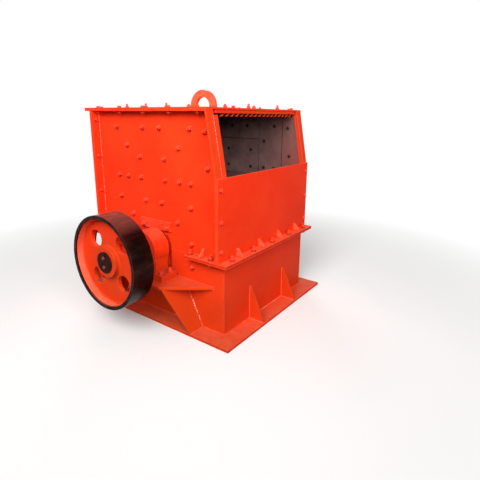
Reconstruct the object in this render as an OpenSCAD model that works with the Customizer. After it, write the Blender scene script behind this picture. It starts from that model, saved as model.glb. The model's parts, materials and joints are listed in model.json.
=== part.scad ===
// Box-type hammer crusher: a welded plate housing in two halves, split at the shaft,
// with a sloping feed mouth in front and a belt pulley on the left end of the rotor shaft.
// X runs along the shaft (pulley at -X), -Y is the feed side, +Z is up, the floor is at z = 0.

/* [Housing] */
// Width over the outer faces of the side walls
box_w = 1092; // [1000:2:1200]
// Depth over the outer faces of the front and back walls
box_d = 1280; // [1200:2:1400]
// Height of the joint between the lower and the upper half, which is also the shaft height
split_z = 553; // [540:1:600]
// Height of the top face of the top plate
top_z = 1557; // [1500:1:1650]
// Thickness of the housing plates
wall_t = 12; // [10:1:14]
// Thickness of the flanges and of the plates bolted to them
flange_t = 12; // [10:1:14]
// How far a flange stands out from its wall
flange_w = 67; // [60:1:76]
// How far the back plate's top flange stands out behind it
back_flange_w = 60; // [50:1:67]
// Distance from the shaft at which the split flange stops beside the bearing
split_stop_y = 338; // [310:1:400]

/* [Feed mouth] */
// Height of the sill, where the front starts to slope back
sill_z = 1122; // [1080:1:1180]
// How far the top of the mouth lies behind the sill
mouth_setback = 76; // [50:1:100]
// Width of the mouth's side bars
mouth_bar_w = 43; // [38:1:66]
// Thickness of the mouth's side bars
mouth_bar_t = 8; // [6:0.5:10]
// Height of the notch between a side bar and the top plate
mouth_notch_h = 35; // [30:1:50]
// Thickness of the front plate and of the back plate
cover_t = 12; // [10:1:16]
// How far the lintel bar ends short of the housing's side
lintel_end_in = 28; // [20:1:40]
// Height of the lintel bar
lintel_h = 24; // [18:1:30]
// How far the lintel bar lies behind the top plate's front edge
lintel_in = 7; // [4:1:14]
// Number of teeth on the curtain comb
comb_teeth = 17; // [13:1:19]
// Height of the comb teeth
tooth_h = 21; // [16:1:28]
// Width of a comb tooth
tooth_w = 19; // [14:1:30]
// How far the root of a comb tooth lies to the right of its tip
tooth_lean = 30; // [16:1:40]
// How far the row of comb teeth is shifted to the right
comb_shift = 21; // [10:1:26]

/* [Base] */
// How far the base plate stands out from the housing
base_lip = 134; // [120:1:150]
// Thickness of the base plate
base_t = 20; // [16:1:25]
// Height of the gussets between the base plate and the front wall
base_gusset_h = 262; // [200:1:300]
// Sideways distance between the two base gussets
base_gusset_gap = 470; // [400:1:560]
// Thickness of every gusset
gusset_t = 12; // [8:1:14]

/* [Split flange gussets] */
// Height of the small gussets on the split flange
flange_gusset_h = 58; // [45:1:70]
// Sideways distance between the small gussets in front
flange_gusset_gap = 271; // [240:1:290]
// Distance from the front of the housing to the small gusset on its side
side_gusset_in = 172; // [120:1:220]

/* [Bearing brackets] */
// Height of the top face of the bracket shelf
shelf_z = 353; // [340:1:380]
// Thickness of the bracket shelf
shelf_t = 18; // [12:1:20]
// How far the shelf stands out from the side wall
shelf_out = 228; // [210:1:250]
// Length of the shelf along the wall
shelf_len = 1094; // [900:2:1150]
// Length of the shelf's outer edge
shelf_outer_len = 500; // [430:2:560]
// How far the foot of a bracket gusset lies from the shaft, along the wall
gusset_foot_y = 443; // [400:1:470]
// How far the head of a bracket gusset lies from the shaft, along the wall
gusset_head_y = 279; // [235:1:295]

/* [Bearings] */
// Outer radius of the round bearing housing
bearing_r = 142; // [130:1:150]
// Width of the bearing housing along the shaft
bearing_w = 130; // [110:1:136]
// Distance from the side wall to the middle of the bearing
bearing_off = 88; // [84:1:96]
// Width of the neck under the round body, across the shaft
neck_len = 266; // [230:2:270]
// Width of the neck under the round body, along the shaft
neck_w = 114; // [100:1:124]
// Length of the bearing foot, across the shaft
foot_len = 416; // [370:2:430]
// Width of the bearing foot, along the shaft
foot_w = 146; // [138:1:152]
// Thickness of the bearing foot
foot_t = 46; // [30:1:50]

/* [Shaft covers] */
// Length of the bar bolted over the shaft slot, along the wall
cover_bar_len = 320; // [280:2:360]
// Height of the bar over the shaft slot
cover_bar_h = 69; // [55:1:80]
// Distance from the shaft up to the lower edge of the bar
cover_bar_up = 130; // [112:1:150]

/* [Rotor] */
// Radius of the shaft between the bearings
shaft_r = 60; // [54:1:62]
// Radius of the shaft in the bearings and in the pulley
journal_r = 55; // [48:1:56]
// Number of rotor discs
discs = 7; // [5:1:7]
// Radius of the rotor discs
disc_r = 300; // [280:2:320]
// Thickness of a rotor disc
disc_t = 24; // [20:1:28]
// Distance between the outer faces of the two end discs
rotor_len = 900; // [840:2:930]
// Number of hammer rows round the rotor
hammer_rows = 4; // [3:1:4]
// Radius of the circle on which the hammer pins lie
pin_circle_r = 245; // [230:1:255]
// Radius of the hammer pins
pin_r = 22; // [18:1:25]
// Radius of the circle that the hammer tips sweep
hammer_tip_r = 440; // [420:2:460]
// Width of a hammer head, across the shaft
hammer_w = 130; // [110:2:150]
// Thickness of a hammer, along the shaft
hammer_t = 70; // [50:1:80]
// Wall of a hammer round its pin
hammer_eye_t = 28; // [20:1:32]
// How far the hammer pins stand out of the end discs
pin_stub = 8; // [4:1:12]
// Wall of the tubes that keep the discs apart
spacer_t = 34; // [24:1:44]

/* [Pulley] */
// Radius of the pulley rim
pulley_r = 322; // [300:1:340]
// Width of the pulley rim
pulley_w = 162; // [140:1:180]
// Distance from the side wall to the pulley's inner rim edge
pulley_off = 328; // [300:1:350]
// Thickness of the pulley rim
rim_t = 24; // [18:1:30]
// Thickness of the pulley web
web_t = 26; // [18:1:34]
// How far the web lies behind the rim's outer edge
web_in = 62; // [50:1:75]
// Radius of the pulley boss
boss_r = 106; // [90:1:110]
// How far the boss reaches behind the web
boss_back = 60; // [45:1:75]
// Radius of the fillets between the web, the rim and the boss
pulley_fillet = 12; // [8:1:16]
// Radius of the four round holes in the web
web_hole_r = 60; // [50:1:62]
// Radius of the circle on which the web holes lie
web_hole_circle_r = 190; // [184:1:200]
// Radius of the cap on the end of the shaft
cap_r = 72; // [62:1:80]
// Thickness of the cap on the end of the shaft
cap_t = 10; // [8:1:16]
// How far the cap lies behind the rim's outer edge
cap_in = 16; // [8:1:24]

/* [Liners] */
// Thickness of the wear plates inside the housing
liner_t = 20; // [16:1:24]
// Gap between neighbouring wear plates
liner_gap = 4; // [3:1:6]
// Radius of the bolt holes in the wear plates
liner_hole_r = 11; // [9:0.5:13]
// How far the middle seam of a side wall's wear plates lies behind the shaft
seam_mid_y = 15; // [0:1:25]
// Distance from the middle seam to the two seams next to it
seam_near = 215; // [200:1:222]
// Distance from the middle seam to the two outermost seams
seam_far = 452; // [430:1:480]
// Height of the lower level seam
seam_low_z = 985; // [940:1:1030]
// Height of the upper level seam
seam_high_z = 1307; // [1304:1:1345]
// Depth of the wear plates below the split
low_liner_h = 210; // [180:1:240]

/* [Lifting lug] */
// Outer radius of the lifting lug on the top plate
lug_r = 128; // [110:1:140]
// Width of the lug's ring
lug_ring_w = 54; // [44:1:62]
// Height of the ring's centre over the top plate
lug_centre_h = 20; // [10:1:30]
// Thickness of the lug plate
lug_t = 30; // [24:1:36]

/* [Hidden] */
$fn = 96;

// Small gap between solids that sit on each other with a curved face
seat_gap = 0.3;
// Radial running clearance of the shaft in its bearings
run_gap = 0.05;
// Length by which a cutting shape passes through what it cuts
cut_over = 1;
// Half sizes of the housing
half_w = box_w / 2;
half_d = box_d / 2;
in_half_w = half_w - wall_t;
in_half_d = half_d - wall_t;
flange_half_w = half_w + flange_w;
// Levels of the two split flanges, the top flange and the top plate
lower_flange_z = split_z - flange_t;
upper_flange_top = split_z + flange_t;
top_flange_top = top_z - flange_t;
top_flange_z = top_flange_top - flange_t;
// Front faces: the plate bolted to the front flange lies flush with the lower wall
flange_front_y = -half_d + cover_t;
mouth_half_w = half_w - mouth_bar_w;
lintel_half_w = half_w - lintel_end_in;
mouth_top_y = flange_front_y + mouth_setback;
lintel_y = mouth_top_y + lintel_in;
comb_y = lintel_y + flange_t;
mouth_bar_top_z = top_flange_top - mouth_notch_h;
// How far gussets end short of the edge of the plate they brace
gusset_inset = 8;
bracket_head_inset = 3;
flange_gusset_inset = 14;
// Shaft slot in the side walls and the parts that cover it
slot_gap = 25;
slot_r = shaft_r + slot_gap;
cover_lap = 22;
cover_reach = slot_r + cover_lap;
cover_gap = 6;
cover_bar_z = split_z + cover_bar_up;
// Bearing positions
bearing_x = half_w + bearing_off;
// Pulley positions, measured from the middle of the machine
pulley_in_x = half_w + pulley_off;
pulley_out_x = pulley_in_x + pulley_w;
web_out_x = pulley_out_x - web_in;
web_in_x = web_out_x - web_t;
web_edge_r = pulley_r - rim_t - seat_gap;
cap_out_x = pulley_out_x - cap_in;
boss_out_x = cap_out_x - cap_t;
boss_in_x = web_in_x - boss_back;
// How far the shaft stands out of the right bearing, and its step beside the walls
shaft_stub = 32;
right_shaft_end = bearing_x + bearing_w / 2 + shaft_stub;
shoulder_x = half_w + cover_gap;
// Side wear plates: their edges beside the front, the back, the top and the shaft slot
liner_edge_gap = 2;
liner_front_y = flange_front_y + mouth_bar_t + liner_edge_gap;
liner_back_y = half_d - cover_t - liner_t - liner_edge_gap;
liner_top_z = top_flange_z - 1.5 * liner_t;
liner_face_x = in_half_w - liner_t;
// Half of the width between the side wear plates, for the back, front and top ones
end_liner_half_w = liner_face_x - liner_gap;
// Bolts of the side wear plates: reach on both sides of the middle seam, and height
liner_bolts = [[86, 1421], [372, 1421], [267, 1290], [127, 1208], [127, 1057],
               [270, 1057], [376, 1057], [85, 889], [371, 889], [238, 764],
               [370, 628], [368, 457]];
// Bolts of the side wear plate beside the mouth: reach in front of the middle seam, and height
mouth_liner_bolts = [[505, 1406], [526, 1172]];
// Bolts of a back wear plate: reach from its middle, sideways and up
back_bolt_reach = [100, 90];
// Colours of the paint, the bare steel and the dark pulley rim
orange_paint = [0.95, 0.22, 0.08];
bare_steel = [0.42, 0.38, 0.36];
dark_rim = [0.12, 0.07, 0.07];
machined = [0.62, 0.62, 0.6];

// Plate lying across X, with its profile given in Y and Z
module plate_across_x(x, t) {
    translate([x, 0, 0]) rotate([90, 0, 90]) linear_extrude(t) children();
}

// Plate lying across Y, with its profile given in X and Z
module plate_across_y(y, t) {
    translate([0, y + t, 0]) rotate([90, 0, 0]) linear_extrude(t) children();
}

// The same piece on the left and on the right
module left_side() mirror([1, 0, 0]) children();

// Base plate round the discharge opening
module base_flange() {
    color(orange_paint)
    difference() {
        translate([-half_w - base_lip, -half_d - base_lip, 0])
            cube([box_w + 2 * base_lip, box_d + 2 * base_lip, base_t]);
        translate([-in_half_w, -in_half_d, -cut_over])
            cube([2 * in_half_w, 2 * in_half_d, base_t + 2 * cut_over]);
    }
}

// Upright triangular gusset at the front, its long edge on the front wall
module front_gusset(x, z, run, height) {
    plate_across_x(x - gusset_t / 2, gusset_t)
        polygon([[-half_d, z], [-half_d, z + height], [-half_d - gusset_t, z + height],
                 [-half_d - run, z + gusset_t], [-half_d - run, z]]);
}

// Tall gussets that brace the front and back walls on the base plate
module base_gussets() {
    color(orange_paint)
    for (turn = [0, 180], side = [-1, 1])
        rotate(turn)
            front_gusset(side * base_gusset_gap / 2, base_t, base_lip - gusset_inset,
                         base_gusset_h);
}

// Lower front wall, between the side walls' outer faces
module lower_end_wall() {
    translate([-half_w, -half_d, base_t])
        cube([box_w, wall_t, lower_flange_z - base_t]);
}

module lower_front_wall() color(orange_paint) lower_end_wall();

module lower_back_wall() color(orange_paint) rotate(180) lower_end_wall();

// Lower side wall with the lower half of the shaft slot
module lower_side_wall() {
    plate_across_x(in_half_w, wall_t)
        difference() {
            translate([-in_half_d, base_t]) square([2 * in_half_d, split_z - base_t]);
            translate([0, split_z]) circle(slot_r);
        }
}

module lower_left_wall() color(orange_paint) left_side() lower_side_wall();

module lower_right_wall() color(orange_paint) lower_side_wall();

// Outline of the split flange at the front: across the front and back along both sides
module split_flange_outline(end_t) {
    polygon([[-flange_half_w, -half_d - flange_w], [flange_half_w, -half_d - flange_w],
             [flange_half_w, -split_stop_y], [half_w, -split_stop_y],
             [half_w, -half_d + end_t], [-half_w, -half_d + end_t],
             [-half_w, -split_stop_y], [-flange_half_w, -split_stop_y]]);
}

// Front and back halves of the flange, which sit over end walls of thickness end_t
module split_flange(z, end_t) {
    for (turn = [0, 180])
        rotate(turn)
            translate([0, 0, z]) linear_extrude(flange_t) split_flange_outline(end_t);
}

module lower_split_flange() color(orange_paint) split_flange(lower_flange_z, wall_t);

module upper_split_flange() color(orange_paint) split_flange(split_z, cover_t);

// Small triangular gussets between the split flange and the upper half
module split_flange_gussets() {
    run = flange_w - flange_gusset_inset;
    color(orange_paint)
    for (turn = [0, 180])
        rotate(turn) {
            for (x = [-1.5, -0.5, 0.5, 1.5] * flange_gusset_gap)
                front_gusset(x, upper_flange_top, run, flange_gusset_h);
            for (side = [-1, 1])
                translate([side * half_w, -half_d + side_gusset_in, upper_flange_top])
                    rotate([90, 0, side > 0 ? 0 : 180])
                        linear_extrude(gusset_t, center = true)
                            polygon([[0, 0], [run, 0], [run, gusset_t],
                                     [gusset_t, flange_gusset_h], [0, flange_gusset_h]]);
        }
}

// Flat shelf under the bearing, wider at the wall than at its outer edge
module bearing_shelf() {
    translate([0, 0, shelf_z - shelf_t])
        linear_extrude(shelf_t)
            polygon([[half_w, -shelf_len / 2], [half_w + shelf_out, -shelf_outer_len / 2],
                     [half_w + shelf_out, shelf_outer_len / 2], [half_w, shelf_len / 2]]);
}

module left_bearing_shelf() color(orange_paint) left_side() bearing_shelf();

module right_bearing_shelf() color(orange_paint) bearing_shelf();

// Leaning plates that carry the shelf: narrow at the base, wide under the shelf
module bracket_gusset() {
    rise = shelf_z - shelf_t - base_t;
    run = gusset_foot_y - gusset_head_y;
    lean = atan(run / rise);
    slant_h = norm([rise, run]);
    head_w = shelf_out - bracket_head_inset;
    intersection() {
        translate([half_w, -gusset_foot_y, base_t])
            rotate([90 - lean, 0, 0])
                translate([0, 0, -gusset_t])
                    linear_extrude(gusset_t)
                        polygon([[0, -gusset_t], [base_lip, -gusset_t], [base_lip, 0],
                                 [head_w, slant_h], [head_w, slant_h + gusset_t],
                                 [0, slant_h + gusset_t]]);
        translate([half_w, -box_d / 2, base_t]) cube([shelf_out, box_d, rise]);
    }
}

module bracket_gussets() {
    bracket_gusset();
    mirror([0, 1, 0]) bracket_gusset();
}

module left_bracket_gussets() color(orange_paint) left_side() bracket_gussets();

module right_bracket_gussets() color(orange_paint) bracket_gussets();

// Bearing housing: a round body on a long foot, bored for the shaft journal
module bearing_housing() {
    difference() {
        union() {
            translate([bearing_x - bearing_w / 2, 0, split_z]) rotate([0, 90, 0])
                cylinder(r = bearing_r, h = bearing_w);
            translate([bearing_x - neck_w / 2, -neck_len / 2, shelf_z])
                cube([neck_w, neck_len, split_z - shelf_z]);
            translate([bearing_x - foot_w / 2, -foot_len / 2, shelf_z])
                cube([foot_w, foot_len, foot_t]);
        }
        translate([bearing_x - bearing_w, 0, split_z]) rotate([0, 90, 0])
            cylinder(r = journal_r + run_gap, h = 2 * bearing_w);
    }
}

module left_bearing_housing() color(orange_paint) left_side() bearing_housing();

module right_bearing_housing() color(orange_paint) bearing_housing();

// Plates that close the shaft slot: a bolted bar with a tongue above, a plate below
module shaft_covers() {
    plate_across_x(half_w, flange_t) {
        difference() {
            union() {
                translate([-cover_bar_len / 2, cover_bar_z])
                    square([cover_bar_len, cover_bar_h]);
                translate([-cover_reach, split_z + seat_gap])
                    square([2 * cover_reach, cover_bar_z - split_z]);
            }
            translate([0, split_z]) circle(shaft_r + cover_gap);
        }
        difference() {
            translate([-cover_reach, split_z - cover_reach])
                square([2 * cover_reach, cover_reach - seat_gap]);
            translate([0, split_z]) circle(shaft_r + cover_gap);
        }
    }
}

module left_shaft_covers() color(orange_paint) left_side() shaft_covers();

module right_shaft_covers() color(orange_paint) shaft_covers();

// Where a front edge that starts at front_y on the sill has sloped back to at height z
function sloped_y(front_y, z) =
    front_y + mouth_setback * (z - sill_z) / (top_flange_z - sill_z);

// Side outline of the upper half's flange, with the inside edge moved in by inset
module upper_flange_outline(inset) {
    front_y = flange_front_y + inset;
    back_y = half_d - cover_t - inset;
    high_z = top_flange_top - inset;
    polygon([[front_y, upper_flange_top - inset], [front_y, sill_z],
             [front_y + mouth_setback, top_flange_z],
             if (inset < flange_t) [front_y + mouth_setback, high_z],
             [back_y, high_z], [back_y, upper_flange_top - inset]]);
}

// Side outline of the upper side wall, stepped back above the sill for the mouth's side bar
module upper_wall_outline() {
    step_y = flange_front_y + mouth_bar_t;
    back_y = half_d - cover_t;
    polygon([[flange_front_y, split_z], [flange_front_y, sill_z], [step_y, sill_z],
             [step_y + mouth_setback, top_flange_z], [step_y + mouth_setback, top_flange_top],
             [back_y, top_flange_top], [back_y, split_z]]);
}

// Upper side wall with its outward flanges at the front, back and top
module upper_side_wall() {
    difference() {
        union() {
            plate_across_x(in_half_w, wall_t) upper_wall_outline();
            plate_across_x(half_w, flange_w)
                difference() {
                    upper_flange_outline(0);
                    upper_flange_outline(flange_t);
                }
        }
        translate([in_half_w - cut_over, 0, split_z]) rotate([0, 90, 0])
            cylinder(r = slot_r, h = wall_t + 2 * cut_over);
    }
}

module upper_left_wall() color(orange_paint) left_side() upper_side_wall();

module upper_right_wall() color(orange_paint) upper_side_wall();

// Plate bolted over the lower part of the feed side, up to the sill
module front_plate() {
    color(orange_paint)
    translate([-flange_half_w, -half_d, upper_flange_top])
        cube([2 * flange_half_w, cover_t, sill_z - upper_flange_top]);
}

// Plate bolted over the whole back, with a flange along its top edge
module back_plate() {
    color(orange_paint)
    translate([-flange_half_w, 0, 0]) {
        translate([0, half_d - cover_t, upper_flange_top])
            cube([2 * flange_half_w, cover_t, top_flange_top - upper_flange_top]);
        translate([0, half_d - cover_t, top_flange_z])
            cube([2 * flange_half_w, cover_t + back_flange_w, flange_t]);
    }
}

// Top plate, bolted to the flanges of the side walls and of the back plate
module top_plate() {
    color(orange_paint)
    translate([-flange_half_w, mouth_top_y, top_flange_top])
        cube([2 * flange_half_w, half_d + back_flange_w - mouth_top_y, flange_t]);
}

// Sloping bar on the front edge of the side wall, flush with the flange beside it
module mouth_bar() {
    bar_back_y = flange_front_y + mouth_bar_t;
    plate_across_x(mouth_half_w, mouth_bar_w)
        polygon([[flange_front_y, sill_z], [bar_back_y, sill_z],
                 [sloped_y(bar_back_y, mouth_bar_top_z), mouth_bar_top_z],
                 [sloped_y(flange_front_y, mouth_bar_top_z), mouth_bar_top_z]]);
}

module left_mouth_bar() color(orange_paint) left_side() mouth_bar();

module right_mouth_bar() color(orange_paint) mouth_bar();

// Bar along the top of the mouth, under the top plate
module mouth_lintel() {
    color(orange_paint)
    translate([-lintel_half_w, lintel_y, top_flange_top - lintel_h])
        cube([2 * lintel_half_w, flange_t, lintel_h]);
}

// Comb behind the lintel, with slanted teeth that hold the curtain chains
module curtain_comb() {
    pitch = 2 * mouth_half_w / (comb_teeth + 1);
    color(orange_paint)
    union() {
        translate([-lintel_half_w, comb_y, top_flange_top - lintel_h])
            cube([2 * lintel_half_w, flange_t, lintel_h]);
        for (i = [0 : comb_teeth - 1])
            translate([(i - (comb_teeth - 1) / 2) * pitch + comb_shift, 0,
                       top_flange_top - lintel_h])
                plate_across_y(comb_y, flange_t)
                    polygon([[-(tooth_w + tooth_lean) / 2, -tooth_h],
                             [(tooth_w - tooth_lean) / 2, -tooth_h],
                             [(tooth_w + tooth_lean) / 2, 0],
                             [(tooth_w + tooth_lean) / 2, cut_over],
                             [(tooth_lean - tooth_w) / 2, cut_over],
                             [(tooth_lean - tooth_w) / 2, 0]]);
    }
}

// Horseshoe lug in the middle of the top plate: a ring cut off a little below its centre
module lifting_lug() {
    color(orange_paint)
    plate_across_x(-lug_t / 2, lug_t)
        intersection() {
            translate([0, top_z + lug_centre_h])
                difference() {
                    circle(lug_r);
                    circle(lug_r - lug_ring_w);
                }
            translate([-2 * lug_r, top_z]) square(4 * lug_r);
        }
}

// One wear plate of a wall, given by its lower left and upper right corners
module wear_plate(low, high) {
    translate([low[0] + liner_gap / 2, low[1] + liner_gap / 2])
        square([high[0] - low[0] - liner_gap, high[1] - low[1] - liner_gap]);
}

// Wear plates on a side wall, laid out as in the photographed mouth, and bolted through
module side_liners() {
    low_z = split_z + liner_gap / 2;
    low_edge_z = split_z - low_liner_h;
    middle_low = [seam_mid_y - seam_near, seam_low_z];
    middle_high = [seam_mid_y + seam_near, seam_high_z];
    front_edge_y = liner_front_y + liner_gap / 2;
    front_seam_y = seam_mid_y - seam_far - liner_gap / 2;
    high_edge_z = liner_top_z - liner_gap / 2;
    plate_across_x(liner_face_x, liner_t)
        difference() {
            union() {
                wear_plate([middle_low[0], seam_high_z], [seam_mid_y, liner_top_z]);
                wear_plate([seam_mid_y, seam_high_z], [middle_high[0], liner_top_z]);
                wear_plate(middle_low, middle_high);
                wear_plate([middle_low[0], low_z], [middle_high[0], seam_low_z]);
                for (side = [-1, 1]) {
                    near_y = seam_mid_y + side * seam_near;
                    far_y = seam_mid_y + side * seam_far;
                    wear_plate([min(near_y, far_y), low_z], [max(near_y, far_y), seam_low_z]);
                    wear_plate([min(near_y, far_y), seam_low_z],
                               [max(near_y, far_y), liner_top_z]);
                }
                wear_plate([seam_mid_y + seam_far, low_z], [liner_back_y, liner_top_z]);
                polygon([[front_edge_y, low_z + liner_gap / 2], [front_edge_y, sill_z],
                         [sloped_y(front_edge_y, high_edge_z), high_edge_z],
                         [front_seam_y, high_edge_z], [front_seam_y, low_z + liner_gap / 2]]);
                wear_plate([liner_front_y, low_edge_z], [-slot_r, split_z]);
                wear_plate([slot_r, low_edge_z], [liner_back_y, split_z]);
            }
            translate([0, split_z]) circle(slot_r);
            for (bolt = liner_bolts, side = [-1, 1])
                translate([seam_mid_y + side * bolt[0], bolt[1]]) circle(liner_hole_r);
            for (bolt = mouth_liner_bolts)
                translate([seam_mid_y - bolt[0], bolt[1]]) circle(liner_hole_r);
        }
}

module left_side_liners() color(bare_steel) left_side() side_liners();

module right_side_liners() color(bare_steel) side_liners();

// Level rows of three wear plates side by side, between two heights
module plate_rows(low, high, rows) {
    plate_w = 2 * end_liner_half_w / 3;
    row_h = (high - low) / rows;
    for (i = [0 : 2], j = [0 : rows - 1])
        wear_plate([-end_liner_half_w + i * plate_w, low + j * row_h],
                   [-end_liner_half_w + (i + 1) * plate_w, low + (j + 1) * row_h]);
}

// Wear plates on the back wall, in rows of three, four bolts to a plate
module back_liners() {
    rows = 3;
    low_z = split_z + liner_gap / 2;
    row_h = (liner_top_z - low_z) / rows;
    color(bare_steel)
    plate_across_y(half_d - cover_t - liner_t, liner_t)
        difference() {
            plate_rows(low_z, liner_top_z, rows);
            for (i = [-1 : 1], j = [0 : rows - 1], side = [-1, 1], up = [-1, 1])
                translate([i * 2 * end_liner_half_w / 3 + side * back_bolt_reach[0],
                           low_z + (j + 0.5) * row_h + up * back_bolt_reach[1]])
                    circle(liner_hole_r);
        }
}

// Wear plates behind the front plate
module front_liners() {
    color(bare_steel)
    plate_across_y(flange_front_y, liner_t)
        plate_rows(split_z + liner_gap / 2, sill_z - liner_gap / 2, 1);
}

// Wear plates under the top plate
module top_liners() {
    color(bare_steel)
    translate([0, 0, top_flange_top - liner_t])
        linear_extrude(liner_t)
            plate_rows(comb_y + flange_t + liner_gap, liner_back_y, 1);
}

// Lengthwise solid of revolution about the shaft, its profile given as [x, radius] points
module turned(points) {
    translate([0, 0, split_z]) rotate([0, 90, 0]) rotate_extrude()
        polygon([for (p = points) [p[1], p[0]]]);
}

// Points of a quarter round about [x, radius], from the angle start on
function fillet_arc(x, radius, start) =
    [for (a = [0 : 22.5 : 90]) [x, radius] + pulley_fillet * [cos(start + a), sin(start + a)]];

module rotor_shaft() {
    color(machined)
    turned([[-boss_out_x, 0], [-boss_out_x, journal_r], [-shoulder_x, journal_r],
            [-shoulder_x, shaft_r], [shoulder_x, shaft_r], [shoulder_x, journal_r],
            [right_shaft_end, journal_r], [right_shaft_end, 0]]);
}

// Centre of the belt pulley: a web with four round holes, and the boss on the shaft
module drive_pulley() {
    bore_r = journal_r + seat_gap;
    f = pulley_fillet;
    color(orange_paint)
    left_side()
    difference() {
        turned(concat(
            fillet_arc(web_out_x + f, web_edge_r - f, 90),
            fillet_arc(web_out_x + f, boss_r + f, 180),
            [[boss_out_x, boss_r], [boss_out_x, bore_r], [boss_in_x, bore_r], [boss_in_x, boss_r]],
            fillet_arc(web_in_x - f, boss_r + f, 270),
            fillet_arc(web_in_x - f, web_edge_r - f, 0)));
        translate([web_in_x - web_t, 0, split_z])
            for (quarter = [0 : 3])
                rotate([45 + 90 * quarter, 0, 0]) translate([0, 0, web_hole_circle_r])
                    rotate([0, 90, 0]) cylinder(r = web_hole_r, h = 3 * web_t);
    }
}

// Wide flat rim of the belt pulley, round its web
module pulley_rim() {
    color(dark_rim)
    left_side()
    turned([[pulley_in_x, pulley_r - rim_t], [pulley_in_x, pulley_r],
            [pulley_out_x, pulley_r], [pulley_out_x, pulley_r - rim_t]]);
}

// Round cap that holds the pulley on the end of the shaft
module shaft_end_cap() {
    color(dark_rim)
    translate([-cap_out_x, 0, split_z]) rotate([0, 90, 0])
        cylinder(r = cap_r, h = cap_t);
}

function disc_x(i) = -rotor_len / 2 + disc_t / 2 + i * (rotor_len - disc_t) / (discs - 1);
function row_angle(k) = 45 + 360 * k / hammer_rows;

// Places its children on the hammer pin of row k, with +Z pointing away from the shaft
module at_pin(k, x) {
    translate([x, 0, split_z]) rotate([row_angle(k), 0, 0])
        translate([0, 0, pin_circle_r]) children();
}

// Discs keyed on the shaft, drilled for the hammer pins
module rotor_discs() {
    color(bare_steel)
    for (i = [0 : discs - 1])
        difference() {
            translate([disc_x(i) - disc_t / 2, 0, split_z]) rotate([0, 90, 0])
                cylinder(r = disc_r, h = disc_t);
            translate([disc_x(i) - disc_t, 0, split_z]) rotate([0, 90, 0])
                cylinder(r = shaft_r + seat_gap, h = 2 * disc_t);
            for (k = [0 : hammer_rows - 1])
                at_pin(k, disc_x(i) - disc_t) rotate([0, 90, 0])
                    cylinder(r = pin_r + seat_gap, h = 2 * disc_t);
        }
}

// Tubes on the shaft that keep the discs apart
module rotor_spacers() {
    color(bare_steel)
    for (i = [0 : discs - 2])
        turned([[disc_x(i) + disc_t / 2, shaft_r + seat_gap],
                [disc_x(i) + disc_t / 2, shaft_r + spacer_t],
                [disc_x(i + 1) - disc_t / 2, shaft_r + spacer_t],
                [disc_x(i + 1) - disc_t / 2, shaft_r + seat_gap]]);
}

// Pins on which the hammers hang
module hammer_pins() {
    pin_len = rotor_len + 2 * pin_stub;
    color(machined)
    for (k = [0 : hammer_rows - 1])
        at_pin(k, -pin_len / 2) rotate([0, 90, 0]) cylinder(r = pin_r, h = pin_len);
}

// Hammers: a shank round the pin that widens to a block-shaped head
module hammers() {
    eye_r = pin_r + hammer_eye_t;
    flat_tip = sqrt(pow(hammer_tip_r, 2) - pow(hammer_w / 2, 2)) - pin_circle_r;
    head_start = flat_tip / 2;
    color(bare_steel)
    for (k = [0 : hammer_rows - 1], i = [0 : discs - 2])
        at_pin(k, (disc_x(i) + disc_x(i + 1)) / 2 - hammer_t / 2)
            rotate([90, 0, 90])
                linear_extrude(hammer_t)
                    difference() {
                        union() {
                            circle(eye_r);
                            polygon([[-eye_r, 0], [eye_r, 0],
                                     [hammer_w / 2, head_start],
                                     [hammer_w / 2, flat_tip], [-hammer_w / 2, flat_tip],
                                     [-hammer_w / 2, head_start]]);
                        }
                        circle(pin_r + seat_gap);
                    }
}

base_flange();
base_gussets();
lower_front_wall();
lower_back_wall();
lower_left_wall();
lower_right_wall();
lower_split_flange();
upper_split_flange();
split_flange_gussets();
left_bearing_shelf();
right_bearing_shelf();
left_bracket_gussets();
right_bracket_gussets();
left_bearing_housing();
right_bearing_housing();
left_shaft_covers();
right_shaft_covers();
upper_left_wall();
upper_right_wall();
front_plate();
back_plate();
top_plate();
left_mouth_bar();
right_mouth_bar();
mouth_lintel();
curtain_comb();
lifting_lug();
left_side_liners();
right_side_liners();
back_liners();
front_liners();
top_liners();
rotor_shaft();
drive_pulley();
pulley_rim();
shaft_end_cap();
rotor_discs();
rotor_spacers();
hammer_pins();
hammers();
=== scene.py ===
"""Looks of a box-type hammer crusher: paint, bare steel, bolts and weld beads on the CAD frame."""

import json
import math
import random

import bmesh
import bpy
from mathutils import Matrix, Vector


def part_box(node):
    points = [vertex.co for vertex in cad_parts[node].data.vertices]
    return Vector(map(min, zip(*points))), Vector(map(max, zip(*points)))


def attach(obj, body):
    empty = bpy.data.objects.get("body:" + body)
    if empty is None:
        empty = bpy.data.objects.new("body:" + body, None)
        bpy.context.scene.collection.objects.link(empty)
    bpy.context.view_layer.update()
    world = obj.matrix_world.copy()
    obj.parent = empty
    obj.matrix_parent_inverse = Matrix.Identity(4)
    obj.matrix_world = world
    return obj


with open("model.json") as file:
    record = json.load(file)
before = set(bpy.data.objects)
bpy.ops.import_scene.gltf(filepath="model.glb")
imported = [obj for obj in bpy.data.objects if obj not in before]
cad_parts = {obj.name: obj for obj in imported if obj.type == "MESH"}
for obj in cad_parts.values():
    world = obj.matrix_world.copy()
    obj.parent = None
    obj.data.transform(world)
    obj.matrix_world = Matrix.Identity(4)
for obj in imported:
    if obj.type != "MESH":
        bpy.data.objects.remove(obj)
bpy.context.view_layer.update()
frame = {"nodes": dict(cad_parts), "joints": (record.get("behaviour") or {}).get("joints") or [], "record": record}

X, Y, Z = Vector((1, 0, 0)), Vector((0, 1, 0)), Vector((0, 0, 1))


# Camera, from the solved view of the photograph

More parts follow.
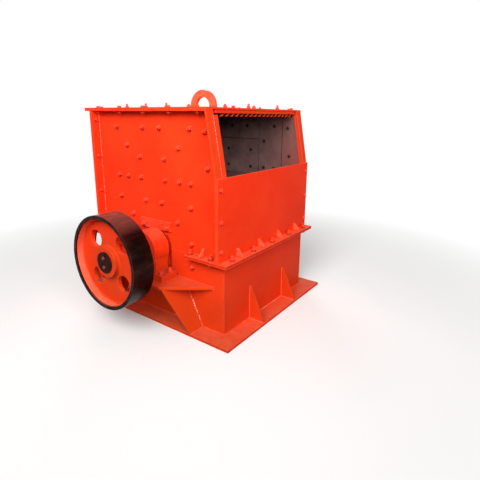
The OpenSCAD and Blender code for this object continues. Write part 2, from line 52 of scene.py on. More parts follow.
IMAGE_SIZE = 480
FOCAL_PX = 389.43
CENTRE_V_PX = 213.5
SENSOR_MM = 36.0
CAMERA_PLACE = Vector((-2.4531, -2.1478, 1.5))
CAMERA_YAW = math.radians(54.064)
CAMERA_PITCH = math.radians(13.970)
CAMERA_ROLL = math.radians(-0.486)


def make_camera():
    """Camera with the photograph's place, direction, lens and principal point."""
    forward = Vector((
        math.sin(CAMERA_YAW) * math.cos(CAMERA_PITCH),
        math.cos(CAMERA_YAW) * math.cos(CAMERA_PITCH),
        -math.sin(CAMERA_PITCH),
    ))
    level_right = Vector((math.cos(CAMERA_YAW), -math.sin(CAMERA_YAW), 0))
    level_up = level_right.cross(forward)
    right = math.cos(CAMERA_ROLL) * level_right - math.sin(CAMERA_ROLL) * level_up
    up = math.sin(CAMERA_ROLL) * level_right + math.cos(CAMERA_ROLL) * level_up
    data = bpy.data.cameras.new("camera")
    data.sensor_width = SENSOR_MM
    data.lens = FOCAL_PX / IMAGE_SIZE * SENSOR_MM
    data.shift_y = (CENTRE_V_PX - IMAGE_SIZE / 2) / IMAGE_SIZE
    data.clip_start = 0.05
    camera = bpy.data.objects.new("camera", data)
    turn = Matrix((right, up, -forward)).transposed().to_4x4()
    camera.matrix_world = Matrix.Translation(CAMERA_PLACE) @ turn
    bpy.context.scene.collection.objects.link(camera)
    bpy.context.scene.camera = camera


# Node trees

BEVEL_SAMPLES = 4


class Nodes:
    """Short calls for a material's node tree."""

    def __init__(self, name):
        self.material = bpy.data.materials.new(name)
        self.material.use_nodes = True
        self.tree = self.material.node_tree
        self.shader = self.tree.nodes["Principled BSDF"]
        coordinates = self.add("ShaderNodeTexCoord")
        self.place = coordinates.outputs["Object"]
        self.own_normal = coordinates.outputs["Normal"]

    def add(self, kind, **settings):
        node = self.tree.nodes.new(kind)
        for key, value in settings.items():
            setattr(node, key, value)
        return node

    def put(self, socket, value):
        if isinstance(value, bpy.types.NodeSocket):
            self.tree.links.new(value, socket)
        else:
            socket.default_value = value

    def set(self, **values):
        for key, value in values.items():
            self.put(self.shader.inputs[key.replace("_", " ")], value)

    def noise(self, scale, detail=3.0, roughness=0.5, vector=None):
        node = self.add("ShaderNodeTexNoise")
        self.put(node.inputs["Vector"], vector or self.place)
        node.inputs["Scale"].default_value = scale
        node.inputs["Detail"].default_value = detail
        node.inputs["Roughness"].default_value = roughness
        return node.outputs["Fac"]

    def stretch(self, scale):
        """Coordinates scaled along each axis, for streaks."""
        node = self.add("ShaderNodeMapping")
        self.put(node.inputs["Vector"], self.place)
        node.inputs["Scale"].default_value = scale
        return node.outputs["Vector"]

    def remap(self, value, low, high, to_low=0.0, to_high=1.0):
        node = self.add("ShaderNodeMapRange")
        self.put(node.inputs["Value"], value)
        node.inputs["From Min"].default_value = low
        node.inputs["From Max"].default_value = high
        node.inputs["To Min"].default_value = to_low
        node.inputs["To Max"].default_value = to_high
        return node.outputs["Result"]

    def math(self, operation, a, b=0.0):
        node = self.add("ShaderNodeMath", operation=operation)
        self.put(node.inputs[0], a)
        self.put(node.inputs[1], b)
        return node.outputs["Value"]

    def absolute(self, value):
        return self.math("ABSOLUTE", value)

    def above(self, value, limit):
        """1 where the value is over the limit, 0 elsewhere."""
        return self.math("GREATER_THAN", value, limit)

    def below(self, value, limit):
        """1 where the value is under the limit, 0 elsewhere."""
        return self.math("LESS_THAN", value, limit)

    def greater(self, a, b):
        return self.math("MAXIMUM", a, b)

    def times(self, first, *others):
        """Product of masks."""
        for other in others:
            first = self.math("MULTIPLY", first, other)
        return first

    def distance(self, a, b):
        """Length of the vector (a, b)."""
        return self.math("SQRT", self.math("ADD", self.times(a, a), self.times(b, b)))

    def mix(self, factor, a, b):
        node = self.add("ShaderNodeMix", data_type="RGBA")
        self.put(node.inputs["Factor"], factor)
        self.put(node.inputs["A"], a)
        self.put(node.inputs["B"], b)
        return node.outputs["Result"]

    def split(self, vector=None):
        node = self.add("ShaderNodeSeparateXYZ")
        self.put(node.inputs["Vector"], vector or self.place)
        return node.outputs

    def bump(self, height, distance, normal=None):
        node = self.add("ShaderNodeBump")
        node.inputs["Distance"].default_value = distance
        self.put(node.inputs["Height"], height)
        if normal is not None:
            self.put(node.inputs["Normal"], normal)
        return node.outputs["Normal"]

    def round_edges(self, radius):
        node = self.add("ShaderNodeBevel", samples=BEVEL_SAMPLES)
        node.inputs["Radius"].default_value = radius
        return node.outputs["Normal"]

    def facing_up(self):
        return self.split(self.own_normal)["Z"]

    def edge_mask(self, radius):
        """1 on sharp edges, 0 on flats."""
        node = self.add("ShaderNodeVectorMath", operation="DOT_PRODUCT")
        self.put(node.inputs[0], self.round_edges(radius))
        self.put(node.inputs[1], self.add("ShaderNodeNewGeometry").outputs["Normal"])
        return self.remap(node.outputs["Value"], 0.8, 0.99, 1.0, 0.0)

    def radius_from(self, axis_z):
        """Distance from the shaft's axis."""
        parts = self.split()
        return self.distance(self.math("SUBTRACT", parts["Z"], axis_z), parts["Y"])


def srgb(red, green, blue):
    """Linear colour with alpha from 0-255 sRGB values."""
    def linear(value):
        value /= 255
        return value / 12.92 if value <= 0.04045 else ((value + 0.055) / 1.055) ** 2.4
    return (linear(red), linear(green), linear(blue), 1.0)


# Colours of the paint, of bare steel, of dirt, and of painted shade and highlights

PAINT = srgb(240, 58, 24)
PAINT_DEEP = srgb(230, 47, 17)
PAINT_DUSTY = srgb(208, 104, 76)
PAINT_WORN = srgb(250, 150, 120)
# Pale paint for painted highlights on edges, partly edge wear
PAINT_HIGHLIGHT_AND_WEAR = srgb(255, 128, 96)
# Darker paint for dirt and for painted shade
PAINT_DIRT_AND_SHADE = srgb(186, 58, 20)
PAINT_PINK = srgb(240, 122, 92)
# Dark red for painted shade
PAINTED_SHADE = srgb(110, 20, 8)
# Near white for painted glints on weld crests
WELD_GLINT = srgb(255, 205, 185)
# Dark red for the painted shadow round the bearing housing and under the slot bar
PAINTED_GAP_SHADOW = srgb(96, 10, 5)
INNER_BROWN = srgb(52, 26, 22)
INNER_DARK = srgb(26, 15, 14)
GRIME = srgb(92, 52, 44)
RIM_BLACK = srgb(14, 4, 3)
RIM_MAROON = srgb(44, 13, 11)
# Dust and painted sheen on the rim's top
RIM_DUST_AND_SHEEN = srgb(150, 76, 66)
WEAR_BROWN = srgb(150, 112, 106)
WEAR_DARK = srgb(112, 86, 84)
WEAR_RED = srgb(108, 60, 54)
WEAR_SPRAYED = srgb(150, 56, 42)
WEAR_EDGE = srgb(44, 28, 26)
BOLT_DARK = srgb(24, 14, 13)
BOLT_BROWN = srgb(66, 36, 30)
STEEL_GREY = srgb(112, 106, 100)
ROTOR_DARK = srgb(70, 64, 60)
HAMMER_DARK = srgb(82, 74, 68)
TURNED_DARK, TURNED_LIGHT = srgb(120, 114, 106), srgb(150, 145, 138)
CAP_DARK, CAP_BROWN = srgb(28, 8, 6), srgb(58, 20, 15)
CAP_BOLT_DARK, CAP_BOLT_BROWN = srgb(64, 28, 23), srgb(104, 58, 50)
RUST = srgb(112, 62, 40)
WARM_TINT = (0.9, 0.6, 0.5, 1.0)

# Reach of the rim's dark paint: in from the running face, and inside the rim from its ends
RIM_DARK_T = 0.021
RIM_DARK_IN = 0.011

# Specular level of the enamel: low, since the white surroundings would wash its colour out
PAINT_GLOSS = 0.03
DETAIL_GLOSS = 0.16
SEAM_GLOSS = 0.4
CAP_BOLT_GLOSS = 0.4

# Heights at which the paint begins to darken towards the floor and is darkest
DARKEN_HIGH, DARKEN_LOW = 0.8, 0.1
# Slack of a mask that ends at a face, and the distance that counts as off the face
SKIN = 0.0005
OFF_FACE = 0.001


def paint_colour(n):
    """Cloudy enamel: darker towards the floor, dust above the top and where a face looks up."""
    cloud = n.noise(2.3, detail=5, roughness=0.6)
    colour = n.mix(n.remap(cloud, 0.35, 0.7), PAINT_DEEP, PAINT)
    parts = n.split()
    # Darker towards the floor, more at the outer sides and at the front
    low = n.remap(parts["Z"], DARKEN_HIGH, DARKEN_LOW, 0.0, 0.95)
    outward = n.remap(n.absolute(parts["X"]), WALL_X - 0.2, WALL_X + 0.02, 0.5, 1.0)
    backward = n.remap(parts["Y"], 0.0, 0.4, 1.0, 0.4)
    spread = n.times(outward, backward, n.remap(cloud, 0.3, 0.7, 1.0, 0.6))
    colour = n.mix(n.times(low, spread), colour, PAINT_DIRT_AND_SHADE)
    dust_spots = n.remap(n.noise(14, detail=8, roughness=0.7), 0.38, 0.7, 0.35, 1.0)
    up = n.remap(n.facing_up(), 0.5, 1.0, 0.0, 0.6)
    over_top = n.remap(parts["Z"], TOP_Z + 0.002, TOP_Z + 0.03, 0.0, 0.9)
    return n.mix(n.times(dust_spots, n.greater(up, over_top)), colour, PAINT_DUSTY)


def behind_front(n):
    """Distance behind the front, which slopes back above the sill."""
    parts = n.split()
    above_sill = n.greater(n.math("SUBTRACT", parts["Z"], SILL_Z), 0.0)
    slope = (MOUTH_TOP_Y - FLANGE_FRONT_Y) / (TOP_FLANGE_UNDER - SILL_Z)
    front = n.math("ADD", n.times(above_sill, slope), FLANGE_FRONT_Y)
    return n.math("SUBTRACT", parts["Y"], front)


def mouth_frame_shade(n):
    """1 on the front faces round the mouth and on the comb, where painted shade darkens the paint."""
    parts = n.split()
    behind = behind_front(n)
    on_front = n.remap(behind, FRAME_T + 2 * SKIN, FRAME_T)
    on_comb = n.times(n.below(behind, COMB_BACK),
                      n.below(n.absolute(parts["X"]), WALL_X - COMB_SIDE))
    patchy = n.remap(n.noise(12, detail=5), 0.35, 0.65, 0.4, 0.6)
    return n.times(n.greater(on_front, on_comb), n.remap(parts["Z"], SILL_Z, SILL_Z + 0.01),
                   n.below(parts["Z"], TOP_FLANGE_UNDER), patchy)


def inside_mask(n):
    """1 on the faces inside the housing, which carry no enamel."""
    parts = n.split()
    side = n.below(n.absolute(parts["X"]), WALL_X - SKIN)
    back = n.below(parts["Y"], FLANGE_BACK_Y + SKIN)
    top = n.below(parts["Z"], TOP_Z - FLANGE_T + SKIN)
    return n.times(n.remap(behind_front(n), COMB_BACK, COMB_BACK + 0.006), side, back, top)


def outside_walls(n):
    """1 on what stands out of the walls and the shaft covers."""
    parts = n.split()
    beside = n.above(n.absolute(parts["X"]), COVERS_OUT_X + OFF_FACE)
    before = n.above(n.absolute(parts["Y"]), BACK_Y + 4 * OFF_FACE)
    return n.greater(beside, before)


def split_joint_shade(n):
    """1 along the joint between the two split flanges, where a line of painted shade goes."""
    off_joint = n.absolute(n.math("SUBTRACT", n.split()["Z"], SHAFT_Z))
    return n.times(n.remap(off_joint, 3 * SKIN, 5 * SKIN, 1.0, 0.0), outside_walls(n))


def small_gusset_mask(n):
    """1 on the small gussets that stand on the split flange."""
    parts = n.split()
    over = n.remap(parts["Z"], SPLIT_TOP + 0.002, SPLIT_TOP + 0.006)
    under = n.remap(parts["Z"], SPLIT_TOP + SMALL_GUSSET_H + 0.004, SPLIT_TOP + SMALL_GUSSET_H)
    nearer = n.math("MINIMUM", n.absolute(parts["X"]), n.absolute(parts["Y"]))
    off_corner = n.below(nearer, SMALL_GUSSET_Y + GUSSET_T)
    return n.times(over, under, off_corner, outside_walls(n))


def standing_plate_shade(n):
    """1 on the gussets and bearing shelves of the lower half, where painted shade darkens the paint."""
    parts = n.split()
    beside = n.above(n.absolute(parts["X"]), WALL_X + OFF_FACE)
    before = n.above(n.absolute(parts["Y"]), BACK_Y + OFF_FACE)
    patchy = n.remap(n.noise(12, detail=5), 0.35, 0.65, 0.3, 0.5)
    return n.times(n.greater(beside, before), n.above(parts["Z"], BASE_TOP + OFF_FACE),
                   n.below(parts["Z"], SPLIT_BOTTOM - OFF_FACE), patchy)


def cover_painted_shade(n):
    """1 on wall and shaft cover close round the bearing housing and under the slot bar, where painted shadow goes.
    """
    parts = n.split()
    ragged = n.remap(n.noise(30, detail=4), 0.3, 0.7, -0.004, 0.004)
    over_shaft = n.greater(n.math("SUBTRACT", parts["Z"], SHAFT_Z), 0.0)
    reach = n.math("ADD", n.distance(over_shaft, parts["Y"]), ragged)
    drum_gap_shade = n.times(n.remap(reach, DRUM_R + 0.001, DRUM_R + 0.007, 0.8, 0.0),
                      n.above(reach, DRUM_R - 0.02), n.above(parts["Z"], shelf[1].z + OFF_FACE))
    shadow_under_bar = n.times(n.remap(parts["Z"], SLOT_BAR_LOW - 0.016, SLOT_BAR_LOW - 0.006),
                        n.below(parts["Z"], SLOT_BAR_LOW),
                        n.below(n.absolute(parts["Y"]), covers[1].y))
    off_middle = n.absolute(parts["X"])
    return n.times(n.greater(drum_gap_shade, shadow_under_bar), n.above(off_middle, WALL_X - SKIN),
                   n.below(off_middle, COVERS_OUT_X + SKIN))


def finish_paint(n, grain_scale, grain_height, waves, gloss):
    """Gloss, rounded edges, slow waves of the plate, and grain."""
    n.set(Roughness=n.remap(n.noise(30, detail=6), 0.3, 0.7, 0.28, 0.42))
    n.set(Specular_IOR_Level=gloss)
    edges = n.round_edges(0.0025)
    wavy = n.bump(n.noise(5, detail=2), waves, normal=edges)
    n.set(Normal=n.bump(n.noise(grain_scale, detail=2), grain_height, normal=wavy))


def make_paint():
    """Enamel outside, with painted highlights and wear at edges, painted shade at the split joint, on the mouth's
    frame, on the lower gussets and round the bearing housing, and brown bare plate inside.
    """
    n = Nodes("painted_steel")
    mill_skin = n.remap(n.noise(9, detail=7, roughness=0.65), 0.36, 0.64)
    inner = n.mix(mill_skin, INNER_DARK, INNER_BROWN)
    chips = n.remap(n.noise(40, detail=4), 0.4, 0.6, 0.25, 0.65)
    gusset_highlights = n.remap(n.noise(50, detail=4), 0.35, 0.65, 0.1, 0.5)
    # Painted highlights, partly edge wear, on edges and on the small gussets
    highlight_and_wear = n.greater(n.times(n.edge_mask(0.004), chips), n.times(small_gusset_mask(n), gusset_highlights))
    colour = n.mix(highlight_and_wear, paint_colour(n), PAINT_HIGHLIGHT_AND_WEAR)
    # Painted shade along the joint of the split flanges
    colour = n.mix(n.times(split_joint_shade(n), 0.85), colour, PAINTED_SHADE)
    # Painted shade on the mouth's frame and comb, and on the lower gussets and shelves
    darkening = n.greater(mouth_frame_shade(n), standing_plate_shade(n))
    colour = n.mix(darkening, colour, PAINT_DIRT_AND_SHADE)
    # Painted shadow round the bearing housing and under the slot bar
    colour = n.mix(n.times(cover_painted_shade(n), 0.8), colour, PAINTED_GAP_SHADOW)
    n.set(Base_Color=n.mix(inside_mask(n), colour, inner))
    finish_paint(n, 260, 0.00006, 0.00035, PAINT_GLOSS)
    return n.material


def make_detail_paint():
    """Paint on bolts and welds: worn pale in spots, with painted highlights on the beads near the base
    and on the base gussets' beads, and painted shade underneath and at the feet of the split flange's nuts."""
    n = Nodes("painted_details")
    parts = n.split()
    height = parts["Z"]
    worn = n.remap(n.noise(120, detail=4, roughness=0.7), 0.5, 0.68)
    # Painted highlights besides wear: beads and bolts paler near the base and on the base gussets
    highlight_and_wear = n.remap(height, BASE_TOP + 0.014, BASE_TOP + 0.006, 0.2, 0.7)
    on_gussets = n.times(n.above(n.absolute(parts["Y"]), BACK_Y - OFF_FACE),
                         n.below(n.absolute(parts["X"]), BASE_GUSSET_X + 0.02),
                         n.below(height, BASE_TOP + BASE_GUSSET_H), 0.45)
    colour = n.mix(on_gussets, paint_colour(n), PAINT_HIGHLIGHT_AND_WEAR)
    colour = n.mix(n.times(worn, highlight_and_wear), colour, PAINT_WORN)
    # Painted shade on faces that look down, weaker just under the top flange, and at the feet of the split
    # flange's nuts
    underside_shade_weight = n.remap(height, TOP_FLANGE_UNDER - 0.03, TOP_FLANGE_UNDER - 0.04, 0.2, 0.75)
    under = n.times(n.remap(n.facing_up(), -0.1, -0.6), underside_shade_weight)
    foot = n.times(n.remap(height, SPLIT_TOP + 0.020, SPLIT_TOP + 0.008, 0.0, 0.65),
                   n.above(height, SPLIT_TOP - OFF_FACE), outside_walls(n))
    n.set(Base_Color=n.mix(n.greater(under, foot), colour, PAINTED_SHADE))
    finish_paint(n, 300, 0.0001, 0.0, DETAIL_GLOSS)
    return n.material


def make_seam_paint():
    """Thin paint on the long seams, with painted glints on the crests of the bead."""
    n = Nodes("painted_seams")
    # Painted glints on the crests of the bead, more of them lower down
    glint_spots = n.remap(n.noise(85, detail=0), 0.52, 0.62)
    glint_share = n.remap(n.split()["Z"], SPLIT_TOP, SPLIT_TOP - 0.1, 0.2, 0.9)
    n.set(Base_Color=n.mix(n.times(glint_spots, glint_share), paint_colour(n), WELD_GLINT))
    finish_paint(n, 300, 0.0001, 0.0, SEAM_GLOSS)
    return n.material


def make_cast_paint():
    """Paint on castings: grime on the bearing feet, dirt round the boss, painted shade under the shaft, and
    painted highlights on edges.
    """
    n = Nodes("painted_casting")
    up = n.remap(n.facing_up(), 0.5, 1.0)
    low = n.remap(n.split()["Z"], FOOT_TOP + 0.002, FOOT_TOP + 0.012, 1.0, 0.0)
    patch = n.remap(n.noise(16, detail=6, roughness=0.65), 0.44, 0.6)
    grime = n.times(up, low, patch, 0.8)
    # Painted highlights on edges and fillets
    colour = n.mix(n.times(n.edge_mask(0.006), 0.45), paint_colour(n), PAINT_HIGHLIGHT_AND_WEAR)
    on_pulley = n.below(n.split()["X"], pulley_rim[1].x)
    near_boss = n.remap(n.radius_from(SHAFT_Z), 0.19, 0.09, 0.6, 1.3)
    # Painted shade on the bearing housing below the shaft
    shade_under_shaft = n.remap(n.split()["Z"], SHAFT_Z + 0.06, SHAFT_Z - 0.06, 0.0, 0.9)
    patchy = n.remap(n.noise(11, detail=6, roughness=0.65), 0.35, 0.65, 0.35, 0.75)
    off_pulley = n.math("SUBTRACT", 1.0, on_pulley)
    darkening = n.greater(n.times(on_pulley, near_boss), n.times(off_pulley, shade_under_shaft))
    colour = n.mix(n.times(darkening, patchy), colour, PAINT_DIRT_AND_SHADE)
    n.set(Base_Color=n.mix(grime, colour, GRIME))
    finish_paint(n, 150, 0.0005, 0.0012, PAINT_GLOSS)
    return n.material


def make_pulley_rim():
    """Dark glossy enamel on the running face, the ends and a little way inside, with dust and painted sheen on top
    and painted highlights on the edges; orange within.
    """
    n = Nodes("pulley_rim")
    low, high = pulley_rim
    ragged = n.remap(n.noise(60, detail=3), 0.3, 0.7, -0.001, 0.001)
    radius = n.math("ADD", n.radius_from(SHAFT_Z), ragged)
    outer = n.above(radius, high.z - SHAFT_Z - RIM_DARK_T)
    off_middle = n.absolute(n.math("SUBTRACT", n.split()["X"], (low.x + high.x) / 2))
    ends = n.above(n.math("ADD", off_middle, ragged), (high.x - low.x) / 2 - RIM_DARK_IN)
    cloud = n.remap(n.noise(4, detail=5), 0.4, 0.65)
    streaks = n.noise(24, detail=6, roughness=0.7, vector=n.stretch((0.3, 1, 1)))
    rim = n.mix(cloud, RIM_BLACK, RIM_MAROON)
    # Dust and painted sheen where the rim looks up
    dust_and_sheen = n.times(n.remap(n.facing_up(), 0.7, 1.0), n.remap(streaks, 0.35, 0.65, 0.6, 1.0), 0.7)
    # Painted highlights on the rim's edges
    highlight_and_wear = n.times(n.edge_mask(0.003), n.remap(streaks, 0.4, 0.6, 0.2, 0.5))
    rim = n.mix(n.greater(dust_and_sheen, highlight_and_wear), rim, RIM_DUST_AND_SHEEN)
    faded = n.remap(n.noise(12, detail=6), 0.35, 0.65, 0.3, 0.7)
    inside = n.mix(faded, paint_colour(n), PAINT_PINK)
    n.set(Base_Color=n.mix(n.greater(outer, ends), inside, rim))
    n.set(Roughness=n.remap(streaks, 0.3, 0.7, 0.16, 0.3))
    n.set(Specular_IOR_Level=n.remap(streaks, 0.45, 0.65, 0.03, 0.14))
    n.set(Specular_Tint=WARM_TINT)
    n.set(Normal=n.bump(n.noise(120, detail=3), 0.00015, normal=n.round_edges(0.003)))
    return n.material


def make_wear_plate():
    """Bare rolled plate: brown mill skin, scratches, rust, and red overspray near the mouth."""
    n = Nodes("wear_plate")
    parts = n.split()
    cloud = n.remap(n.noise(5, detail=8, roughness=0.65), 0.36, 0.66)
    colour = n.mix(cloud, WEAR_DARK, WEAR_BROWN)
    near_mouth = n.remap(parts["Y"], MOUTH_TOP_Y + 0.36, MOUTH_TOP_Y + 0.06)
    drift = n.remap(n.noise(3, detail=4), 0.3, 0.7, 0.6, 1.0)
    colour = n.mix(n.times(near_mouth, drift), colour, WEAR_RED)
    low_front = n.times(n.remap(parts["Y"], MOUTH_TOP_Y + 0.16, MOUTH_TOP_Y),
                        n.remap(parts["Z"], SILL_Z + 0.25, SILL_Z), 0.5)
    colour = n.mix(low_front, colour, WEAR_SPRAYED)
    rust = n.remap(n.noise(26, detail=10, roughness=0.75), 0.56, 0.68)
    colour = n.mix(n.times(rust, 0.55), colour, RUST)
    colour = n.mix(n.times(n.edge_mask(0.006), 0.85), colour, WEAR_EDGE)
    scratches = n.noise(18, detail=6, roughness=0.7, vector=n.stretch((1, 9, 1)))
    n.set(Base_Color=colour)
    n.set(Metallic=0.15)
    n.set(Roughness=n.remap(scratches, 0.35, 0.65, 0.45, 0.7))
    pits = n.bump(n.noise(90, detail=6, roughness=0.7), 0.0006, normal=n.round_edges(0.002))
    n.set(Normal=n.bump(scratches, 0.0004, normal=pits))
    return n.material


def make_dark_bolt():
    """Dark brown steel of the wear plates' bolt heads."""
    n = Nodes("dark_bolt")
    cloud = n.remap(n.noise(60, detail=4), 0.35, 0.7)
    n.set(Base_Color=n.mix(cloud, BOLT_DARK, BOLT_BROWN))
    n.set(Metallic=0.3, Roughness=0.5)
    return n.material


def make_rough_steel(name, dark, grain):
    """Cloudy rough steel with rust, for the discs and the hammers."""
    n = Nodes(name)
    cloud = n.remap(n.noise(9, detail=8, roughness=0.7), 0.35, 0.68)
    colour = n.mix(cloud, dark, STEEL_GREY)
    rust = n.remap(n.noise(34, detail=10, roughness=0.75), 0.56, 0.66)
    n.set(Base_Color=n.mix(n.times(rust, 0.5), colour, RUST))
    n.set(Metallic=0.55)
    n.set(Roughness=n.remap(cloud, 0.0, 1.0, 0.66, 0.42))
    edges = n.round_edges(0.002)
    n.set(Normal=n.bump(n.noise(110, detail=5, roughness=0.7), grain, normal=edges))
    return n.material


def make_turned_steel():
    """Bright steel with turning marks round the shaft."""
    n = Nodes("turned_steel")
    rings = n.noise(60, detail=4, vector=n.stretch((8, 0.3, 0.3)))
    n.set(Base_Color=n.mix(n.remap(rings, 0.3, 0.7), TURNED_DARK, TURNED_LIGHT))
    n.set(Metallic=0.9)
    n.set(Roughness=n.remap(rings, 0.3, 0.7, 0.28, 0.42))
    n.set(Normal=n.bump(rings, 0.0002))
    return n.material


def make_oiled_steel(name, dark, light, gloss):
    """Dark oiled steel, for the end cap and its bolts."""
    n = Nodes(name)
    cloud = n.remap(n.noise(30, detail=6), 0.35, 0.7)
    n.set(Base_Color=n.mix(cloud, dark, light))
    n.set(Specular_IOR_Level=gloss, Specular_Tint=WARM_TINT)
    n.set(Roughness=n.remap(cloud, 0.0, 1.0, 0.32, 0.5))
    n.set(Normal=n.bump(n.noise(160, detail=4), 0.0003, normal=n.round_edges(0.002)))
    return n.material


# Meshes built by code

class Pile:
    """Collects many small pieces into one mesh."""

    def __init__(self, name, material, body, slot):
        self.name, self.material, self.body, self.slot = name, material, body, slot
        self.points, self.faces, self.smooth = [], [], []

    def loft(self, rings, smooth=False):
        """Skins a list of rings with equal point counts, and closes both ends."""
        start = len(self.points)
        count = len(rings[0])
        for points in rings:
            self.points.extend(points)
        for i in range(len(rings) - 1):
            for j in range(count):
                a = start + i * count + j
                b = start + i * count + (j + 1) % count
                self.faces.append((a, b, b + count, a + count))
                self.smooth.append(smooth)
        last = start + (len(rings) - 1) * count
        self.faces.append(tuple(range(start + count - 1, start - 1, -1)))
        self.faces.append(tuple(range(last, last + count)))
        self.smooth.extend((False, False))

    def finish(self):
        """Makes the piece, with its body."""
        mesh = bpy.data.meshes.new(self.name)
        mesh.from_pydata([tuple(p) for p in self.points], [], self.faces)
        mesh.polygons.foreach_set("use_smooth", self.smooth)
        mesh.materials.append(self.material)
        mesh.validate()
        work = bmesh.new()
        work.from_mesh(mesh)
        bmesh.ops.recalc_face_normals(work, faces=work.faces)
        work.to_mesh(mesh)
        work.free()
        piece = bpy.data.objects.new(self.name, mesh)
        bpy.context.scene.collection.objects.link(piece)
        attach(piece, self.body)


def frame_of(axis):
    """Two unit vectors across an axis."""
    side = axis.cross(Z)
    if side.length < 0.1:
        side = axis.cross(Y)
    side.normalize()
    return side, axis.cross(side).normalized()


def ring(centre, axis, radius, count, turn=0.0):
    """Points of a circle round an axis."""
    u, v = frame_of(axis)
    points = []
    for i in range(count):
        angle = turn + 2 * math.pi * i / count
        points.append(centre + radius * (math.cos(angle) * u + math.sin(angle) * v))
    return points


def add_turned(pile, base, axis, profile, count, turn=0.0, smooth=False):
    """Solid of revolution from (height, radius) pairs along an axis."""
    pile.loft([ring(base + h * axis, axis, r, count, turn) for h, r in profile], smooth=smooth)


# Washers, nuts, heads and threads, in thread diameters: a hexagon is 1.5 wide across its flats
WASHER_T, WASHER_BEVEL_R, WASHER_SIDES = 0.15, 0.94, 20
CORNER_R = 0.75 / math.cos(math.pi / 6)
NUT_H, HEAD_H = 0.8, 0.65
THREAD_R, GROOVE_R, TIP_R = 0.5, 0.45, 0.4
# Shares of the height and of the corner radius
NUT_PROFILE = ((0, 1), (0.88, 1), (1, 0.9))
HEAD_PROFILE = ((0, 1), (0.85, 1), (1, 0.88), (1, 0.6))
STUB_TURNS, STUB_SIDES = 4, 12


def add_hexagon(pile, base, axis, height, corner, profile, rng):
    """Nut or bolt head, turned at random about its axis."""
    turn = rng.uniform(0, math.pi / 3)
    points = [(height * up, corner * out) for up, out in profile]
    add_turned(pile, base, axis, points, 6, turn)


def add_washer(pile, base, axis, size):
    t = WASHER_T * size
    profile = [(0, size), (0.8 * t, size), (t, WASHER_BEVEL_R * size)]
    add_turned(pile, base, axis, profile, WASHER_SIDES)
    return base + t * axis


def add_nut(pile, base, axis, size, rng, stub=0.5):
    """Washer, hexagon nut and its bolt's end. Size is the thread's diameter, stub counts in it."""
    top = add_washer(pile, base, axis, size)
    h = NUT_H * size
    add_hexagon(pile, top, axis, h, CORNER_R * size, NUT_PROFILE, rng)
    if stub > 0:
        length = stub * size
        thread, groove = THREAD_R * size, GROOVE_R * size
        profile = [(0, thread)]
        for i in range(STUB_TURNS):
            z = length * (i + 1) / (STUB_TURNS + 1)
            step = length * 0.08
            profile += [(z - step, thread), (z, groove), (z + step, thread)]
        profile += [(length * 0.95, 0.96 * thread), (length, TIP_R * size)]
        add_turned(pile, top + h * axis, axis, profile, STUB_SIDES)


def add_bolt_head(pile, base, axis, size, rng):
    top = add_washer(pile, base, axis, size)
    add_hexagon(pile, top, axis, HEAD_H * size, CORNER_R * size, HEAD_PROFILE, rng)


# Weld beads: rings along the bead, its ripples, and how far it sinks into the corner
WELD_STEP = 0.0022
RIPPLE_PITCH = 0.0065
BLOB_PITCH = 0.0165
CORNER_WAVE, EDGE_WAVE = 61, 57
BEAD_SINK = 0.001
BEAD_ARC = 5
EDGE_BEAD_SIDES = 8
# Share of the full size at a bead's end, and its growth for each metre from there
BEAD_END, BEAD_GROWTH = 0.35, 90


def add_bead(pile, start, end, out_a, out_b, radius, rng):
    """Weld bead in the corner where two faces with outward directions out_a and out_b meet."""
    start, end = Vector(start), Vector(end)
    length = (end - start).length
    along = (end - start) / length
    steps = max(3, int(length / WELD_STEP))
    phase = rng.uniform(0, 6)
    rings = []
    for i in range(steps + 1):
        t = length * i / steps
        wobble = 1 + 0.05 * math.sin(2 * math.pi * t / RIPPLE_PITCH + phase)
        wobble += 0.13 * math.sin(2 * math.pi * t / BLOB_PITCH)
        wobble += 0.06 * math.sin(t * CORNER_WAVE + phase)
        grow = min(1.0, BEAD_END + BEAD_GROWTH * min(t, length - t))
        r = radius * wobble * grow
        centre = start + t * along - BEAD_SINK * (out_a + out_b)
        points = [centre]
        for j in range(BEAD_ARC):
            angle = math.pi / 2 * j / (BEAD_ARC - 1)
            points.append(centre + r * (math.cos(angle) * out_a + math.sin(angle) * out_b)
                          + BEAD_SINK * (out_a + out_b) * math.sin(2 * angle))
        rings.append(points)
    pile.loft(rings, smooth=True)


def add_edge_bead(pile, start, end, radius, rng):
    """Weld bead that stands round on an outside corner."""
    start, end = Vector(start), Vector(end)
    length = (end - start).length
    along = (end - start) / length
    steps = max(3, int(length / WELD_STEP))
    phase = rng.uniform(0, 6)
    rings = []
    for i in range(steps + 1):
        t = length * i / steps
        wobble = 1 + 0.10 * math.sin(2 * math.pi * t / RIPPLE_PITCH + phase)
        wobble += 0.08 * math.sin(t * EDGE_WAVE + phase)
        rings.append(ring(start + t * along, along, radius * wobble, EDGE_BEAD_SIDES))
    pile.loft(rings, smooth=True)


# Places taken from the frame

base_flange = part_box("base_flange")
lower_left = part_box("lower_left_wall")
lower_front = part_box("lower_front_wall")
lower_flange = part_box("lower_split_flange")
upper_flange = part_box("upper_split_flange")
upper_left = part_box("upper_left_wall")
mouth_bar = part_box("left_mouth_bar")
front_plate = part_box("front_plate")
top_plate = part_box("top_plate")
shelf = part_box("left_bearing_shelf")
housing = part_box("left_bearing_housing")
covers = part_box("left_shaft_covers")
pulley_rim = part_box("pulley_rim")
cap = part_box("shaft_end_cap")
side_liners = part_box("right_side_liners")
back_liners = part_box("back_liners")
bracket_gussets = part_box("left_bracket_gussets")
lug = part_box("lifting_lug")

